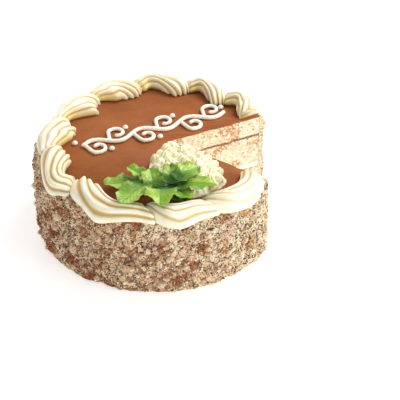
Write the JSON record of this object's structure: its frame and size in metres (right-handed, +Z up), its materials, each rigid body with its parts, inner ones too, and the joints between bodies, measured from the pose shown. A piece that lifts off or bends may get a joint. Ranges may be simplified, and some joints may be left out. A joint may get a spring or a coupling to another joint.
{
  "type": "kyiv cake",
  "caption": "Round nut meringue layer cake in a coat of crumbs, with a chocolate top, a piped cream border, a heap of cream florets with leaves, and a wedge cut out.",
  "frame": {"origin": "middle of the round base, on the surface that the cake stands on", "axes": "+Z up, +X towards the notch, -Y towards the side with the leaves"},
  "size_m": [0.2122, 0.2288, 0.0993],
  "materials": {
    "meringue": "crumbly pale meringue with bits of toasted nut",
    "cream": "smooth ivory butter cream with a soft sheen",
    "nut_cream": "thin brown nut cream, grainy",
    "chocolate": "milk chocolate, spread smooth, soft sheen",
    "crumb_coat": "rough coat of meringue and nut crumbs, beige with dark specks and rust patches",
    "leaf": "ribbed green icing, slightly waxy"
  },
  "bodies": {
    "root": {"meringue_bottom": "meringue", "meringue_middle": "meringue", "meringue_top": "meringue", "cream_white": "cream", "cream_scroll": "cream", "floret_heap": "cream", "border_01": "cream", "border_02": "cream", "border_03": "cream", "border_04": "cream", "border_05": "cream", "border_06": "cream", "border_07": "cream", "border_08": "cream", "border_09": "cream", "border_10": "cream", "bead_1": "cream", "bead_2": "cream", "bead_3": "cream", "bead_4": "cream", "bead_5": "cream", "bead_6": "cream", "cream_nut": "nut_cream", "chocolate_top": "chocolate", "crumb_coat": "crumb_coat", "leaf_left_low": "leaf", "leaf_left_high": "leaf", "leaf_front_left": "leaf", "leaf_front": "leaf", "leaf_front_low": "leaf", "leaf_front_right": "leaf", "leaf_right_low": "leaf", "leaf_right_high": "leaf", "leaf_back": "leaf", "leaf_back_left": "leaf"}
  },
  "joints": []
}
